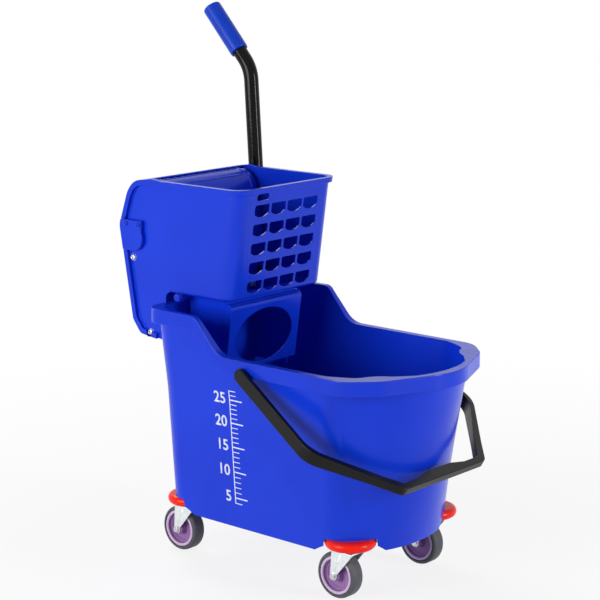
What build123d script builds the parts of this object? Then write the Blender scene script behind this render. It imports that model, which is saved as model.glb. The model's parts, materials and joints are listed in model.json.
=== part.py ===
from build123d import *
import math
import os

os.makedirs("parts", exist_ok=True)

# A wheeled mop bucket with a side-press wringer. Millimetres, +Z up, floor at Z = 0.
# +X is the pouring end, -X the wringer end, +Y the lever side. The part is symmetric
# about Y = 0 apart from the lever. X = 0 is the middle of the overall length.

# ---- clearances -------------------------------------------------------------------
running_gap = 0.05        # radial, where one piece turns on another
fit_gap = 0.05            # radial, where a piece is seated in its own body
seat_gap = 0.3            # between pieces of two bodies that lie close together
side_gap = 0.8            # sideways, between parts that swing past each other
gear_side_gap = 2.0       # sideways, beside each gear

# ---- casters ----------------------------------------------------------------------
wheel_radius = 37.5
wheel_width = 25.0
wheel_trail = 20.0        # axle behind the swivel axis
wheel_crown_gap = 3.0     # wheel to fork crown
core_radius = 31.0
core_web = 7.0
core_rim = 4.5
core_edge_inset = 1.0     # core's rim inside the tyre's sides
core_hub_radius = 10.0
tyre_edge_radius = 4.0
axle_radius = 3.0
axle_head_radius = 5.5
axle_head_height = 3.5
axle_tip = 1.0            # beyond its nut
nut_height = 6.0
fork_side_gap = 2.3       # wheel to fork leg
fork_sheet = 2.5
fork_crown_thickness = 3.0
fork_crown_drop = 2.0     # crown's underside below the bucket's
fork_dish_radius = 15.0
fork_leg_rear = -24.0     # leg edges at the crown, from the swivel axis
fork_leg_front = 17.0
fork_leg_end_radius = 6.5
bumper_radius = 40.0
bumper_thickness = 16.0
bumper_rise = 6.0         # bumper's underside above the bucket's
bumper_edge_radius = 7.5
pocket_ceiling_radius = 42.5
pocket_mouth_radius = 55.0
pocket_flare = 10.0       # height over which the mouth widens
stem_radius = 5.5
stem_flange_radius = 17.0
stem_flange_height = 4.0
stem_spigot_radius = 6.0
stem_head_radius = 8.0
stem_head_height = 3.0
stem_length = 26.0        # inside the bucket's socket
socket_radius = 13.0
rear_caster_inset_x = 23.0  # swivel axes from the sides of the bucket's base
rear_caster_inset_y = 37.0
front_caster_ahead = 24.0   # of where the side wall turns
front_caster_inset_y = 33.0

# ---- bucket -----------------------------------------------------------------------
bucket_bottom = 2 * wheel_radius + wheel_crown_gap + fork_crown_drop
rim_height = 365.0        # rim at the pouring end
shoulder_height = 422.0   # raised rim at the wringer end
bucket_wall = 3.5
bucket_floor = 4.0
base_half_width = 137.0
base_rear_x = -163.0
base_apex_x = 256.0       # foremost point of the bowed front wall
base_corner_radius = 50.0
base_corner_x = 179.0     # where the side wall turns into the front corner
rim_half_width = 168.0
rim_rear_x = -177.0
rim_bend_x = 235.0        # where the rim turns in towards the pouring corner
rim_spout_x = 278.0       # pouring corner
rim_spout_y = 127.0
rim_point_x = 332.0       # where the two front rim lines would meet
rim_rear_radius = 28.0
rim_bend_radius = 50.0
rim_spout_radius = 60.0
rim_point_radius = 110.0
rim_thickness = 3.0
rim_edge_radius = 1.3
rim_overhang = 10.0       # rim beyond the wall at the sides
rim_rear_overhang = 12.0
rim_front_overhang = 22.0  # from the rim's point
rim_corner_overhang = 49.0
rim_wall_corner_radius = 60.0
web_angle = 40.0          # the webs across the pouring corners, from straight ahead
web_reach = 29.0          # the web's straight edge, behind the rim's pouring corner
web_half_width = 70.0
web_tab_radius = 60.0
web_tab_reach = 5.0       # tab inside the web's straight edge
rear_corner_radius = 40.0
skirt_depth = 24.0
skirt_thickness = 3.0
shoulder_end_x = -66.0    # where the raised shoulder starts to fall
fall_end_x = -14.0        # where the fall reaches the front rim height
shoulder_radius = 20.0
fall_radius = 42.0
swell_depth = 132.0       # the wall swells out to the skirt over this depth, behind the pegs
swell_reach = 6.0

# ---- bail -------------------------------------------------------------------------
bail_pivot_x = 39.0
bail_pivot_drop = 21.0    # below the rim
bail_droop = 29.5         # degrees below level, at rest
bail_bend_reach = 188.0   # along the bail's plane, from the peg
bail_flare = 35.0         # bend outside the rim
bail_corner_y = 98.0
bail_arm_width = 8.8
bail_bar_width = 19.0
bail_corner_width = 12.5
bail_point_cut = 6.0      # rounding takes more than this off the rim's point
bail_bulge_half_length = 30.0
bail_depth = 22.0
bail_bar_depth = 14.0
bail_bend_radius = 45.0
bail_corner_radius = 14.0
bail_peg_radius = 6.0
bail_peg_length = 10.5    # into the rim
bail_boss_radius = 12.0
bail_boss_length = 13.5

# ---- wringer housing --------------------------------------------------------------
wringer_half_width = 115.0
wringer_wall = 3.2
wringer_height = 182.0    # basket floor to top
floor_rise = 16.0         # basket floor above the bucket's shoulder
basket_reach = 141.0      # slot to the foot of the perforated wall
front_lean = 26.0         # top of the perforated wall ahead of its foot
front_corner_radius = 24.0
lip_height = 9.0
edge_band_reach = 6.0
edge_band_width = 9.0
slot_gap = 3.0            # between the bucket's rim and the part that hangs behind it
hook_depth = 65.0         # below the shoulder
hole_columns = 4
hole_rows = 5
hole_width = 34.0
hole_straight = 14.0
hole_sag = 6.0
hole_pitch_y = 39.0
hole_pitch_z = 31.4
lowest_hole_rise = 8.0    # above the basket floor's underside
slot_hole_width = 28.0
slot_hole_height = 11.0
slot_hole_y = -59.0
slot_hole_drop = 16.0     # below the top
neck_half_width = 82.0
neck_behind_rim = 19.0    # neck's rear wall ahead of the rim's rear edge
neck_length = 88.0
neck_depth = 124.0        # below the shoulder
neck_lean = 8.0
panel_overhang = 4.0      # each side of the neck
panel_height = 115.0
panel_rise = 5.0          # panel's top above the shoulder
panel_reach = 12.0
panel_edge_radius = 9.0
panel_hole_drop = 63.0    # below the panel's top
panel_hole_half_width = 69.0
panel_hole_half_height = 46.0
saddle_length = 14.0
saddle_thickness = 3.2
outline_top_x = 43.0      # the rear outline's corners, ahead of the shaft
outline_step_x = 60.0
outline_crown_x = 2.0
outline_shoulder_x = -13.0
outline_back_x = -32.0
outline_waist_x = -4.0
outline_heel_x = 13.0
outline_crown_drop = 4.0  # and below the wringer's top
outline_shoulder_drop = 24.0
outline_back_drop = 79.0
outline_waist_rise = 27.0  # and above the hook's bottom
outline_heel_rise = 5.0
outline_radii = [6, 6, 34, 40, 30, 14, 14, 6, 4, 10]  # from the top's step round to the slot

# ---- press plate and drive --------------------------------------------------------
hinge_rise = 9.0          # above the bucket's shoulder
hinge_ahead = 1.0         # of the neck's rear wall
hinge_pin_radius = 5.0
hinge_knuckle_radius = 7.8
hinge_boss_radius = 8.0
hinge_boss_length = 28.0  # outside the neck
hinge_pin_head_radius = 6.7
hinge_pin_head = 3.0
hinge_clip = 1.5
hinge_pin_tip = 4.0       # beyond the boss
plate_lean = 9.5
plate_face = 6.0          # face ahead of the hinge axis
plate_skin = 3.0
plate_side_gap = 7.8      # plate to the housing's side panels
plate_tail_height = 24.0
plate_height = 158.0
plate_curl_radius = 34.0
plate_flange_depth = 26.0
gear_module = 4.0
pinion_teeth = 20
sector_teeth = 44
gear_width = 12.0
gear_middle_y = 64.0
gear_addendum = 0.9
gear_dedendum = 1.25
gear_backlash = 0.35
pressure_angle = 20.0
sector_first_tooth = -1
sector_last_tooth = 5
sector_end_margin = 3.0   # degrees past the last tooth's middle
sector_window_inner = 22.0
sector_window_outer = 70.0
sector_window_setback = 16.0
sector_screw_height = 50.0
sector_screw_length = 18.0
shaft_behind_hinge = 91.0
shaft_radius = 8.0
shaft_tip = 2.0           # outside the left side panel
bush_radius = 12.0
bush_flange_radius = 15.0
bush_flange = 2.0
cap_radius = 22.0
cap_thickness = 8.0
cap_tab_reach = 20.0      # ahead of the shaft axis
cap_tab_top = 29.0        # above the shaft axis
cap_chamfer = 1.5
cap_screw_spacing = 28.0
cap_screw_rise = 22.0
screw_radius = 2.0
screw_head_radius = 4.0
screw_head_height = 2.4
cover_hump_gap = 2.9      # hump to pinion teeth
cover_hump_side_gap = 3.0
cover_thickness = 3.0
cover_upper_bolt_x = -5.0  # from the shaft
cover_upper_bolt_drop = 34.0
cover_lower_bolt_x = 33.0
cover_lower_bolt_rise = 9.0  # above the hook's bottom
cover_bolt_radius = 3.0
cover_bolt_head_radius = 6.0
cover_bolt_head = 4.0
cover_bolt_length = 22.0
cover_lug_radius = 9.0
cover_top_ahead = 32.0    # of the shaft
spring_wire_gap = 0.9     # spring to shaft
spring_wire = 1.5
spring_pitch = 4.0
spring_turns = 6

# ---- lever ------------------------------------------------------------------------
lever_cap_gap = 5.5       # bearing cap to the lever's hub
lever_hub_width = 20.0
lever_lean = 3.7
lever_foot_ahead = 44.1   # of the shaft
lever_foot_drop = 6.0
lever_bend_rise = 268.0
lever_grip_angle = 42.0
lever_bend_radius = 60.0
tube_radius = 12.5
tube_bore = 11.0
tube_end_gap = 7.0        # grip's closed end
grip_radius = 16.0
grip_start = 38.0
grip_length = 97.4
grip_end_radius = 3.0
socket_arm_thickness = 14.0
arm_top_rise = 50.0       # up the socket
lever_hub_radius = 19.0
lever_socket_wall = 4.0
lever_socket_length = 64.0
lever_socket_floor = 4.0
lever_bolt_radius = 3.0
lever_bolt_head_radius = 5.5
lever_bolt_head_height = 4.0
lever_bolt_rise = 40.0
hub_screw_head_radius = 8.0
hub_screw_head = 4.0
hub_screw_radius = 3.0
hub_screw_length = 16.0

# ---- worked out -------------------------------------------------------------------
far = 500.0               # longer than anything that is cut
margin = 10.0             # a cut's overrun
fork_crown_z = bucket_bottom - fork_crown_drop
fork_leg_inner = wheel_width / 2 + fork_side_gap
fork_leg_outer = fork_leg_inner + fork_sheet
bumper_bottom = bucket_bottom + bumper_rise
bumper_top = bumper_bottom + bumper_thickness
fork_dish_top = bumper_bottom - seat_gap
rear_caster_x = base_rear_x + rear_caster_inset_x
rear_caster_y = base_half_width - rear_caster_inset_y
front_caster_x = base_corner_x + front_caster_ahead
front_caster_y = base_half_width - front_caster_inset_y
rim_wall_half_width = rim_half_width - rim_overhang
rim_wall_rear_x = rim_rear_x + rim_rear_overhang
rim_wall_apex_x = rim_point_x - rim_front_overhang
rim_wall_corner_x = rim_bend_x - rim_corner_overhang
cavity_top = shoulder_height + skirt_depth
bail_pivot_y = rim_half_width + side_gap + bail_arm_width / 2
bail_pivot_z = rim_height - bail_pivot_drop
bail_bend_y = rim_half_width + bail_flare
bail_inner = rim_point_x - bail_pivot_x - bail_point_cut
bail_outer = bail_inner + bail_bar_width
slot_x = rim_rear_x - slot_gap
hook_bottom = shoulder_height - hook_depth
wringer_floor = shoulder_height + floor_rise
wringer_top = wringer_floor + wringer_height
front_floor_x = slot_x + basket_reach
front_top_x = front_floor_x + front_lean
lowest_hole_z = wringer_floor + lowest_hole_rise
slot_hole_z = wringer_top - slot_hole_drop
neck_rear_x = rim_rear_x + neck_behind_rim
neck_front_x = neck_rear_x + neck_length
neck_bottom = shoulder_height - neck_depth
panel_half_width = neck_half_width + panel_overhang
panel_top = shoulder_height + panel_rise
panel_bottom = panel_top - panel_height
panel_hole_z = panel_top - panel_hole_drop
inner_half = neck_half_width - wringer_wall
floor_top = wringer_floor + wringer_wall
hinge_x = neck_rear_x + hinge_ahead
hinge_z = shoulder_height + hinge_rise
hinge_boss_end_y = neck_half_width + hinge_boss_length
plate_half_width = wringer_half_width - wringer_wall - plate_side_gap
plate_tail_half_width = inner_half - side_gap
knuckle_end_y = gear_middle_y - gear_width / 2 - gear_side_gap
knuckle_gap_end_y = gear_middle_y + gear_width / 2 + gear_side_gap
shaft_x = hinge_x - shaft_behind_hinge
gear_distance = gear_module * (pinion_teeth + sector_teeth) / 2
shaft_z = hinge_z + math.sqrt(gear_distance ** 2 - shaft_behind_hinge ** 2)
mesh_angle = math.degrees(math.atan2(shaft_z - hinge_z, shaft_x - hinge_x))
pinion_tip_radius = gear_module * (pinion_teeth / 2 + gear_addendum)
cover_hump_radius = pinion_tip_radius + cover_hump_gap + cover_thickness
cover_hump_half_width = knuckle_gap_end_y + cover_hump_side_gap + 1
spring_start_y = knuckle_gap_end_y + 1
spring_radius = shaft_radius + spring_wire_gap + spring_wire
cover_bolt_points = (
    (shaft_x + cover_upper_bolt_x, shaft_z - cover_upper_bolt_drop),
    (shaft_x + cover_lower_bolt_x, hook_bottom + cover_lower_bolt_rise),
)
shaft_left_y = -wringer_half_width - shaft_tip
lever_hub_left_y = wringer_half_width + cap_thickness + lever_cap_gap
lever_hub_right_y = lever_hub_left_y + lever_hub_width
lever_y = (lever_hub_left_y + lever_hub_right_y) / 2
shaft_right_y = lever_hub_right_y - seat_gap
lever_socket_radius = tube_radius + lever_socket_wall
lever_foot_x = shaft_x + lever_foot_ahead
lever_foot_z = shaft_z - lever_foot_drop
lever_bend_z = lever_foot_z + lever_bend_rise


def save(part, name):
    """Label a finished piece and write it."""
    part.label = name
    export_step(part, f"parts/{name}.step")


def between(low, high, share):
    return low + (high - low) * share


def side_plane(y):
    """A plane facing -Y at a given Y: its x is X and its y is Z."""
    return Plane.XZ.offset(-y)


def polar(radius, degrees):
    turn = math.radians(degrees)
    return (radius * math.cos(turn), radius * math.sin(turn))


# ---- bucket -----------------------------------------------------------------------
def wall_plan(height, grow=0.0):
    """Plan of the bucket's outer wall at a height, grown outwards by an amount."""
    share = (height - bucket_bottom) / (rim_height - bucket_bottom)
    half = between(base_half_width, rim_wall_half_width, share) + grow
    rear = between(base_rear_x, rim_wall_rear_x, share) - grow
    apex = between(base_apex_x, rim_wall_apex_x, share) + grow
    corner = between(base_corner_radius, rim_wall_corner_radius, share) + grow
    corner_x = between(base_corner_x, rim_wall_corner_x, share)
    rear_corner = rear_corner_radius + grow
    corner_y = half - corner
    reach = apex - corner_x
    bow = (reach ** 2 + corner_y ** 2 - corner ** 2) / (2 * (reach - corner))
    bow_x = apex - bow
    turn = math.degrees(math.atan2(corner_y, corner_x - bow_x))
    rear_x = rear + rear_corner
    rear_y = half - rear_corner
    with BuildSketch(Plane.XY.offset(height)) as plan:
        with BuildLine():
            Line((rear, rear_y), (rear, -rear_y))
            CenterArc((rear_x, -rear_y), rear_corner, 180, 90)
            Line((rear_x, -half), (corner_x, -half))
            CenterArc((corner_x, -corner_y), corner, 270, 90 - turn)
            CenterArc((bow_x, 0), bow, -turn, 2 * turn)
            CenterArc((corner_x, corner_y), corner, turn, 90 - turn)
            Line((corner_x, half), (rear_x, half))
            CenterArc((rear_x, rear_y), rear_corner, 90, 90)
        make_face()
    return plan.sketch


def rim_plan(height, inset=0.0):
    """Plan of the rim's outer edge, with its two pouring corners."""
    points = [
        (rim_rear_x, -rim_half_width),
        (rim_bend_x, -rim_half_width),
        (rim_spout_x, -rim_spout_y),
        (rim_point_x, 0),
        (rim_spout_x, rim_spout_y),
        (rim_bend_x, rim_half_width),
        (rim_rear_x, rim_half_width),
    ]
    radii = [
        rim_rear_radius,
        rim_bend_radius,
        rim_spout_radius,
        rim_point_radius,
        rim_spout_radius,
        rim_bend_radius,
        rim_rear_radius,
    ]
    with BuildSketch(Plane.XY.offset(height)) as plan:
        with BuildLine():
            FilletPolyline(*points, radius=radii, close=True)
        make_face()
        if inset:
            offset(amount=-inset, kind=Kind.INTERSECTION, mode=Mode.REPLACE)
    return plan.sketch


def rim_side_band(upper_drop, lower_drop):
    """Side view of a band that follows the rim, between two depths below its top."""
    def run(drop):
        return [
            (-far, shoulder_height - drop),
            (shoulder_end_x, shoulder_height - drop),
            (fall_end_x, rim_height - drop),
            (far, rim_height - drop),
        ]
    upper = run(upper_drop)
    lower = run(lower_drop)
    with BuildSketch(Plane.XZ) as band:
        with BuildLine():
            FilletPolyline(*upper, radius=[shoulder_radius, fall_radius])
            Line(upper[-1], lower[-1])
            FilletPolyline(*lower, radius=[shoulder_radius, fall_radius])
            Line(lower[0], upper[0])
        make_face()
    return band.sketch


caster_points = {
    "rear_left": (rear_caster_x, -rear_caster_y),
    "rear_right": (rear_caster_x, rear_caster_y),
    "front_left": (front_caster_x, -front_caster_y),
    "front_right": (front_caster_x, front_caster_y),
}
pocket_height = bumper_rise + bumper_thickness

with BuildPart() as wall_body:
    loft([wall_plan(bucket_bottom), wall_plan(cavity_top)], ruled=True)

with BuildPart() as rim_band:
    extrude(rim_plan(rim_height - skirt_depth), amount=cavity_top - rim_height + skirt_depth)
    extrude(rim_side_band(0, skirt_depth), amount=far, both=True, mode=Mode.INTERSECT)
    fillet(rim_band.edges(), rim_edge_radius)

with BuildPart() as pouring_webs:
    # a flat web closes each front corner of the mouth at rim height, with a round tab halfway
    web_base = rim_height - rim_thickness
    for side in (-1, 1):
        point = (rim_spout_x, side * rim_spout_y, web_base)
        ahead, aside = polar(1, web_angle)
        with BuildSketch(Plane(point, x_dir=(ahead, side * aside, 0), z_dir=(0, 0, 1))):
            with Locations((-web_reach, 0)):
                Rectangle(web_reach, 2 * web_half_width, align=(Align.MIN, Align.CENTER))
            with Locations((web_tab_radius - web_reach - web_tab_reach, 0)):
                Circle(web_tab_radius)
        extrude(amount=rim_thickness)
    extrude(wall_plan(web_base, -bucket_wall / 2), amount=rim_thickness, mode=Mode.INTERSECT)

with BuildPart() as skirt_void:
    extrude(
        rim_plan(rim_height - 2 * skirt_depth, skirt_thickness),
        amount=cavity_top - rim_height + 2 * skirt_depth,
    )
    extrude(rim_side_band(rim_thickness, 2 * skirt_depth), amount=far, both=True, mode=Mode.INTERSECT)
    with Locations((bail_pivot_x + bail_boss_radius, 0, 0)):
        Box(far, 2 * far, 2 * far, align=(Align.MIN, Align.CENTER, Align.CENTER), mode=Mode.INTERSECT)
    add(wall_body.part, mode=Mode.SUBTRACT)

with BuildPart() as shoulder_swell:
    loft([wall_plan(shoulder_height - swell_depth), wall_plan(shoulder_height, swell_reach)], ruled=True)
    with Locations((bail_pivot_x, 0, 0)):
        Box(far, 2 * far, 2 * far, align=(Align.MAX, Align.CENTER, Align.CENTER), mode=Mode.INTERSECT)

with BuildPart() as cavity:
    loft(
        [
            wall_plan(bucket_bottom + bucket_floor, -bucket_wall),
            wall_plan(cavity_top + bucket_wall, -bucket_wall),
        ],
        ruled=True,
    )
    for x, y in caster_points.values():
        with Locations((x, y, bucket_bottom)):
            Cone(
                pocket_mouth_radius + bucket_wall,
                pocket_ceiling_radius + bucket_wall,
                pocket_flare + bucket_wall,
                align=(Align.CENTER, Align.CENTER, Align.MIN),
                mode=Mode.SUBTRACT,
            )
            Cylinder(
                pocket_ceiling_radius + bucket_wall,
                pocket_height + bucket_wall,
                align=(Align.CENTER, Align.CENTER, Align.MIN),
                mode=Mode.SUBTRACT,
            )
            Cylinder(
                socket_radius,
                pocket_height + stem_length + 2 * bucket_wall,
                align=(Align.CENTER, Align.CENTER, Align.MIN),
                mode=Mode.SUBTRACT,
            )

with BuildPart() as bucket:
    add(wall_body.part)
    add(shoulder_swell.part)
    extrude(rim_side_band(-far, 0), amount=far, both=True, mode=Mode.SUBTRACT)
    add(rim_band.part)
    for side in (-1, 1):
        with BuildSketch(side_plane(side * rim_half_width)):
            with Locations((bail_pivot_x, bail_pivot_z)):
                Circle(bail_boss_radius)
        extrude(amount=side * bail_boss_length)
    add(skirt_void.part, mode=Mode.SUBTRACT)
    add(cavity.part, mode=Mode.SUBTRACT)
    add(pouring_webs.part)
    for x, y in caster_points.values():
        with Locations((x, y, bucket_bottom)):
            Cone(
                pocket_mouth_radius,
                pocket_ceiling_radius,
                pocket_flare,
                align=(Align.CENTER, Align.CENTER, Align.MIN),
                mode=Mode.SUBTRACT,
            )
            Cylinder(
                pocket_ceiling_radius,
                pocket_height,
                align=(Align.CENTER, Align.CENTER, Align.MIN),
                mode=Mode.SUBTRACT,
            )
            Cylinder(
                stem_radius + fit_gap,
                pocket_height + stem_length,
                align=(Align.CENTER, Align.CENTER, Align.MIN),
                mode=Mode.SUBTRACT,
            )
    for side in (-1, 1):
        with BuildSketch(side_plane(side * rim_half_width)):
            with Locations((bail_pivot_x, bail_pivot_z)):
                Circle(bail_peg_radius + running_gap)
        extrude(amount=side * (bail_peg_length + seat_gap), mode=Mode.SUBTRACT)
save(bucket.part, "bucket")

# ---- bail handle ------------------------------------------------------------------
# It is drawn in its own plane, which droops from the pegs towards the pouring end:
# x runs along the arm from the peg, y is Y, and the plane's normal is the bail's depth.
droop = math.radians(bail_droop)
bail_plane = Plane(
    origin=(bail_pivot_x, 0, bail_pivot_z),
    x_dir=(math.cos(droop), 0, -math.sin(droop)),
    z_dir=(math.sin(droop), 0, math.cos(droop)),
)
bail_end = bail_depth / 2
bail_taper_end = bail_inner - bail_bar_width

with BuildPart() as bail_handle:
    with BuildSketch(bail_plane) as bail_outline:
        with BuildLine():
            FilletPolyline(
                (-bail_end, bail_pivot_y + bail_arm_width / 2),
                (bail_bend_reach, bail_bend_y + bail_arm_width / 2),
                (bail_outer, bail_corner_y + bail_arm_width / 2),
                (bail_outer, 0),
                radius=[bail_bend_radius, bail_corner_radius],
            )
            Line((bail_outer, 0), (bail_inner, 0))
            Line((bail_inner, 0), (bail_inner, bail_bulge_half_length))
            FilletPolyline(
                (bail_inner, bail_bulge_half_length),
                (bail_outer - bail_corner_width, 2 * bail_bulge_half_length),
                (bail_outer - bail_corner_width, bail_corner_y - bail_arm_width / 2),
                (bail_bend_reach - bail_arm_width / 2, bail_bend_y - bail_arm_width / 2),
                (-bail_end, bail_pivot_y - bail_arm_width / 2),
                radius=[bail_corner_radius, bail_corner_radius / 2, bail_bend_radius],
            )
            Line(
                (-bail_end, bail_pivot_y - bail_arm_width / 2),
                (-bail_end, bail_pivot_y + bail_arm_width / 2),
            )
        make_face()
        mirror(about=Plane.XZ)
    extrude(amount=bail_depth / 2, both=True)
    with BuildSketch(Plane(bail_plane.origin, x_dir=bail_plane.x_dir, z_dir=(0, -1, 0))):
        Circle(bail_end)
        with BuildLine():
            Polyline(
                (0, bail_end),
                (bail_bend_reach, bail_end),
                (bail_taper_end, bail_bar_depth / 2),
                (bail_outer, bail_bar_depth / 2),
                (bail_outer, -bail_bar_depth / 2),
                (bail_taper_end, -bail_bar_depth / 2),
                (bail_bend_reach, -bail_end),
                (0, -bail_end),
                close=True,
            )
        make_face()
    extrude(amount=far, both=True, mode=Mode.INTERSECT)
    for side in (-1, 1):
        with BuildSketch(side_plane(side * bail_pivot_y)):
            with Locations((bail_pivot_x, bail_pivot_z)):
                Circle(bail_peg_radius)
        extrude(amount=side * (bail_pivot_y - rim_half_width + bail_peg_length))
save(bail_handle.part, "bail_handle")

# ---- casters ----------------------------------------------------------------------
def make_caster(corner, x, y):
    """The bumper, stem, fork, axle, nut, core and tyre of one swivel caster."""
    top_plane = Plane((x, y, 0), x_dir=(1, 0, 0), z_dir=(0, -1, 0))
    wheel_x = x - wheel_trail
    wheel_plane = Plane((wheel_x, y, wheel_radius), x_dir=(1, 0, 0), z_dir=(0, -1, 0))

    with BuildPart() as bumper:
        with BuildSketch(top_plane):
            with BuildLine():
                Polyline(
                    (stem_radius + fit_gap, bumper_bottom + stem_flange_height),
                    (stem_flange_radius + fit_gap, bumper_bottom + stem_flange_height),
                    (stem_flange_radius + fit_gap, bumper_bottom),
                    (bumper_radius, bumper_bottom),
                    (bumper_radius, bumper_top),
                    (stem_radius + fit_gap, bumper_top),
                    close=True,
                )
            make_face()
        revolve(axis=Axis((x, y, 0), (0, 0, 1)))
        circles = bumper.edges().filter_by(GeomType.CIRCLE)
        rims = circles.filter_by(lambda e: e.radius > bumper_radius - seat_gap)
        fillet(rims, bumper_edge_radius)
    save(bumper.part, f"bumper_{corner}")

    with BuildPart() as stem:
        with BuildSketch(top_plane):
            with BuildLine():
                Polyline(
                    (0, fork_crown_z - seat_gap / 2 - stem_head_height),
                    (stem_head_radius, fork_crown_z - seat_gap / 2 - stem_head_height),
                    (stem_head_radius, fork_crown_z - seat_gap / 2),
                    (stem_spigot_radius, fork_crown_z - seat_gap / 2),
                    (stem_spigot_radius, bumper_bottom),
                    (stem_flange_radius, bumper_bottom),
                    (stem_flange_radius, bumper_bottom + stem_flange_height),
                    (stem_radius, bumper_bottom + stem_flange_height),
                    (stem_radius, bumper_top + stem_length - seat_gap),
                    (0, bumper_top + stem_length - seat_gap),
                    close=True,
                )
            make_face()
        revolve(axis=Axis((x, y, 0), (0, 0, 1)))
    save(stem.part, f"caster_stem_{corner}")

    with BuildPart() as fork:
        with BuildSketch(side_plane(y + fork_leg_outer)):
            with BuildLine():
                Polyline(
                    (x + fork_leg_rear, fork_crown_z + fork_crown_thickness),
                    (x + fork_leg_front, fork_crown_z + fork_crown_thickness),
                    (x + fork_leg_front, fork_crown_z),
                    (wheel_x + fork_leg_end_radius, wheel_radius + fork_leg_end_radius / 2),
                    (wheel_x - fork_leg_end_radius, wheel_radius),
                    close=True,
                )
            make_face()
            with Locations((wheel_x, wheel_radius)):
                Circle(fork_leg_end_radius)
                Circle(axle_radius + fit_gap, mode=Mode.SUBTRACT)
        extrude(amount=2 * fork_leg_outer)
        long_edges = fork.edges().filter_by(Axis.X).group_by(Axis.Z)[-1]
        fillet(long_edges, fork_sheet - fit_gap)
        with Locations((x, y, fork_crown_z)):
            Box(
                4 * fork_leg_outer,
                2 * fork_leg_inner,
                2 * wheel_radius,
                align=(Align.CENTER, Align.CENTER, Align.MAX),
                mode=Mode.SUBTRACT,
            )
            Cylinder(
                fork_dish_radius,
                fork_dish_top - fork_crown_z,
                align=(Align.CENTER, Align.CENTER, Align.MIN),
            )
            Cylinder(stem_spigot_radius + running_gap, 4 * fork_leg_outer, mode=Mode.SUBTRACT)
    save(fork.part, f"caster_fork_{corner}")

    with BuildPart() as axle:
        with BuildSketch(side_plane(y - fork_leg_outer)):
            with Locations((wheel_x, wheel_radius)):
                RegularPolygon(axle_head_radius, 6)
        extrude(amount=axle_head_height)
        with BuildSketch(side_plane(y + fork_leg_outer + nut_height + axle_tip)):
            with Locations((wheel_x, wheel_radius)):
                Circle(axle_radius)
        extrude(amount=2 * fork_leg_outer + nut_height + axle_tip)
    save(axle.part, f"axle_bolt_{corner}")

    with BuildPart() as nut:
        with BuildSketch(side_plane(y + fork_leg_outer + nut_height)):
            with Locations((wheel_x, wheel_radius)):
                RegularPolygon(axle_head_radius, 6)
                Circle(axle_radius + fit_gap, mode=Mode.SUBTRACT)
        extrude(amount=nut_height)
    save(nut.part, f"axle_nut_{corner}")

    half = wheel_width / 2
    hub_half = fork_leg_inner - seat_gap
    section = Plane((wheel_x, y, wheel_radius), x_dir=(0, 0, 1), z_dir=(1, 0, 0))
    spin = Axis((wheel_x, y, wheel_radius), (0, 1, 0))
    with BuildPart() as core:
        with BuildSketch(section):
            with BuildLine():
                Polyline(
                    (axle_radius + running_gap, -hub_half),
                    (core_hub_radius, -hub_half),
                    (core_hub_radius, -core_web / 2),
                    (core_radius - core_rim, -core_web / 2),
                    (core_radius - core_rim, core_edge_inset - half),
                    (core_radius, core_edge_inset - half),
                    (core_radius, half - core_edge_inset),
                    (core_radius - core_rim, half - core_edge_inset),
                    (core_radius - core_rim, core_web / 2),
                    (core_hub_radius, core_web / 2),
                    (core_hub_radius, hub_half),
                    (axle_radius + running_gap, hub_half),
                    close=True,
                )
            make_face()
        revolve(axis=spin)
    save(core.part, f"wheel_core_{corner}")

    with BuildPart() as tyre:
        with BuildSketch(section):
            with BuildLine():
                FilletPolyline(
                    (core_radius + fit_gap, -half),
                    (wheel_radius, -half),
                    (wheel_radius, half),
                    (core_radius + fit_gap, half),
                    radius=tyre_edge_radius,
                )
                Line((core_radius + fit_gap, half), (core_radius + fit_gap, -half))
            make_face()
        revolve(axis=spin)
    save(tyre.part, f"tyre_{corner}")


for corner, (x, y) in caster_points.items():
    make_caster(corner, x, y)

# ---- wringer housing --------------------------------------------------------------
def front_wall_x(height):
    """Outside of the perforated front wall at a height."""
    return between(front_floor_x, front_top_x, (height - wringer_floor) / (wringer_top - wringer_floor))


def basket_plan(height, grow=0.0):
    """Plan of the basket at a height: straight sides, rounded front corners, open-ended rear."""
    half = wringer_half_width + grow
    front = front_wall_x(height) + grow
    corner = front_corner_radius + grow
    with BuildSketch(Plane.XY.offset(height)) as plan:
        with BuildLine():
            FilletPolyline(
                (-far, -half),
                (front, -half),
                (front, half),
                (-far, half),
                radius=corner,
            )
            Line((-far, half), (-far, -half))
        make_face()
    return plan.sketch


def basket_block(low, high, grow=0.0):
    return loft([basket_plan(low, grow), basket_plan(high, grow)], ruled=True)


rear_outline = [
    (shaft_x + outline_top_x, wringer_top + outline_crown_drop / 2),
    (shaft_x + outline_crown_x, wringer_top - outline_crown_drop),
    (shaft_x + outline_shoulder_x, wringer_top - outline_shoulder_drop),
    (shaft_x + outline_back_x, wringer_top - outline_back_drop),
    (shaft_x + outline_waist_x, hook_bottom + outline_waist_rise),
    (shaft_x + outline_heel_x, hook_bottom + outline_heel_rise),
    (slot_x - saddle_length, hook_bottom),
]


def housing_side(inset=0.0):
    """Side view of the wringer: basket, and the hook that hangs behind the bucket."""
    points = [
        (front_wall_x(wringer_floor) + far, wringer_floor),
        (front_wall_x(wringer_floor) + far, wringer_top),
        (shaft_x + outline_step_x, wringer_top),
        *rear_outline,
        (slot_x, hook_bottom),
        (slot_x, wringer_floor),
    ]
    radii = [0, 0, *outline_radii]
    with BuildSketch(Plane.XZ) as side:
        with BuildLine():
            FilletPolyline(*points, radius=radii, close=True)
        make_face()
        if inset:
            offset(amount=-inset, kind=Kind.INTERSECTION, mode=Mode.REPLACE)
    return side.sketch


def neck_front(height):
    """Outside of the leaning front wall of the neck at a height."""
    return neck_front_x - (wringer_floor - height) * math.tan(math.radians(neck_lean))


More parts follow.
